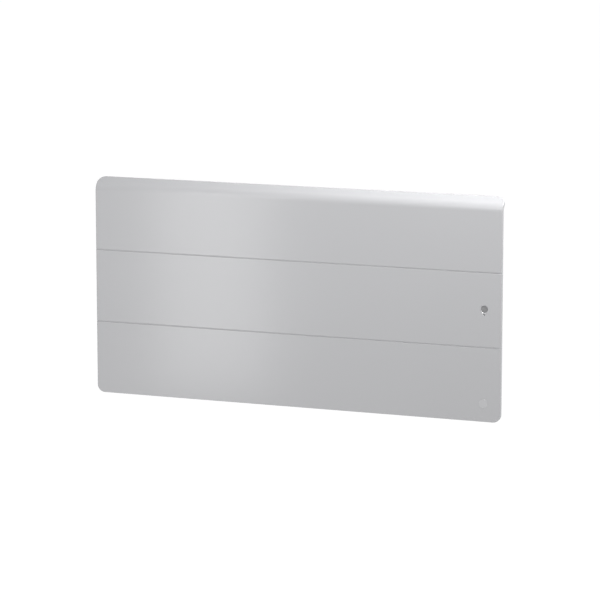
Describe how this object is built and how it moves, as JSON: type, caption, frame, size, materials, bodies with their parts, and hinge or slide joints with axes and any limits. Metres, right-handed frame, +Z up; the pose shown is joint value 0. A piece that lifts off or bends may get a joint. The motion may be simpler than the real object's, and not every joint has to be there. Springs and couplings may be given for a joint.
{
  "type": "wall panel heater",
  "caption": "Slim wall-hung electric panel heater: grooved sheet front with a bent-back top, presence sensor, vented casing, heating element, top controls and tilting wall bracket.",
  "frame": {"origin": "centre of the four wall holes of the bracket, on the wall plane", "axes": "+X to the right for a person facing the heater, +Y into the wall, +Z up"},
  "size_m": [0.975, 0.1104, 0.501],
  "materials": {
    "panel_paint": "satin grey powder coat with a fine grain",
    "case_paint": "matt grey powder coat",
    "cheek_plastic": "fine-textured moulding",
    "grille_plastic": "fine-textured moulding",
    "zinc_steel": "zinc plated, slightly mottled",
    "spring_steel": "bright rolled spring strip",
    "screw_steel": "zinc plated screws",
    "bright_aluminium": "mill finish",
    "rod_steel": "drawn tube, heat tinted",
    "ceramic": "unglazed steatite",
    "film": "laminated heating film",
    "mat": "pressed mineral felt",
    "board_green": "solder-masked glass epoxy",
    "component_black": "moulded component bodies",
    "box_plastic": "flame-retardant moulding",
    "terminal_plastic": "moulded terminal strip",
    "wire_silicone": "silicone sleeved leads",
    "earth_wire": "sleeved earth lead",
    "ribbon": "flat ribbon cable",
    "black_plastic": "fine-textured black moulding",
    "pod_plastic": "fine-textured moulding",
    "key_rubber": "soft-touch keys",
    "display_glass": "clear hard-coated window",
    "display_module": "blank liquid-crystal module",
    "sensor_lens": "grey polythene lens",
    "light_pipe": "smoky clear rod",
    "badge": "plain disc, no mark",
    "pad_rubber": "moulded rubber"
  },
  "bodies": {
    "bracket": {"bracket_rail_left": "zinc_steel", "bracket_rail_right": "zinc_steel", "bracket_crossbars": "zinc_steel", "bracket_rivets": "screw_steel", "spring_clips": "spring_steel", "rest_pads": "pad_rubber"},
    "heater": {"front_panel": "panel_paint", "badge_disc": "badge", "panel_rails": "bright_aluminium", "radiant_film": "film", "insulation_mat": "mat", "cheek_right": "cheek_plastic", "cheek_left": "cheek_plastic", "rear_panel": "case_paint", "rear_screws": "screw_steel", "bottom_tray": "case_paint", "outlet_grille": "grille_plastic", "upright_left": "zinc_steel", "upright_right": "zinc_steel", "panel_screws": "screw_steel", "heat_shield": "bright_aluminium", "shield_spacers": "ceramic", "air_deflector": "bright_aluminium", "heating_body": "bright_aluminium", "element_rod": "rod_steel", "element_insulators": "ceramic", "element_brackets": "zinc_steel", "thermal_cutout": "component_black", "room_sensor": "component_black", "power_tray": "box_plastic", "power_cover": "box_plastic", "power_board": "board_green", "board_parts": "component_black", "heatsink": "bright_aluminium", "terminal_block": "terminal_plastic", "element_leads": "wire_silicone", "ribbon_cable": "ribbon", "earth_lead": "earth_wire", "cable_gland": "black_plastic", "gland_nut": "black_plastic", "rocker_body": "black_plastic", "pod_housing": "pod_plastic", "pod_bezel": "pod_plastic", "display_window": "display_glass", "lcd_module": "display_module", "control_board": "board_green", "tact_switches": "component_black", "sensor_barrel": "black_plastic", "sensor_lens": "sensor_lens", "sensor_board": "board_green", "light_pipe": "light_pipe", "pivot_brackets": "zinc_steel", "pivot_rods": "zinc_steel", "clip_studs": "screw_steel"},
    "rocker": {"rocker_button": "black_plastic"},
    "key_mode": {"key_mode": "key_rubber"},
    "key_minus": {"key_minus": "key_rubber"},
    "key_ok": {"key_ok": "key_rubber"},
    "key_plus": {"key_plus": "key_rubber"},
    "key_timer": {"key_timer": "key_rubber"}
  },
  "joints": [
    {"name": "tilt", "type": "hinge", "parent": "bracket", "child": "heater", "pos_m": [0, -0.009, -0.238], "axis": [1, 0, 0], "range_deg": [0, 25]},
    {"name": "rocker_turn", "type": "hinge", "parent": "heater", "child": "rocker", "pos_m": [0.388, -0.06, -0.229], "axis": [0, 1, 0], "range_deg": [0, 18]},
    {"name": "mode_press", "type": "slide", "parent": "heater", "child": "key_mode", "axis": [0, 0, -1], "range_m": [0, 0.0008], "stiffness_N_per_m": 800, "springref_m": -0.0005},
    {"name": "minus_press", "type": "slide", "parent": "heater", "child": "key_minus", "axis": [0, 0, -1], "range_m": [0, 0.0008], "stiffness_N_per_m": 800, "springref_m": -0.0005},
    {"name": "ok_press", "type": "slide", "parent": "heater", "child": "key_ok", "axis": [0, 0, -1], "range_m": [0, 0.0008], "stiffness_N_per_m": 800, "springref_m": -0.0005},
    {"name": "plus_press", "type": "slide", "parent": "heater", "child": "key_plus", "axis": [0, 0, -1], "range_m": [0, 0.0008], "stiffness_N_per_m": 800, "springref_m": -0.0005},
    {"name": "timer_press", "type": "slide", "parent": "heater", "child": "key_timer", "axis": [0, 0, -1], "range_m": [0, 0.0008], "stiffness_N_per_m": 800, "springref_m": -0.0005}
  ]
}
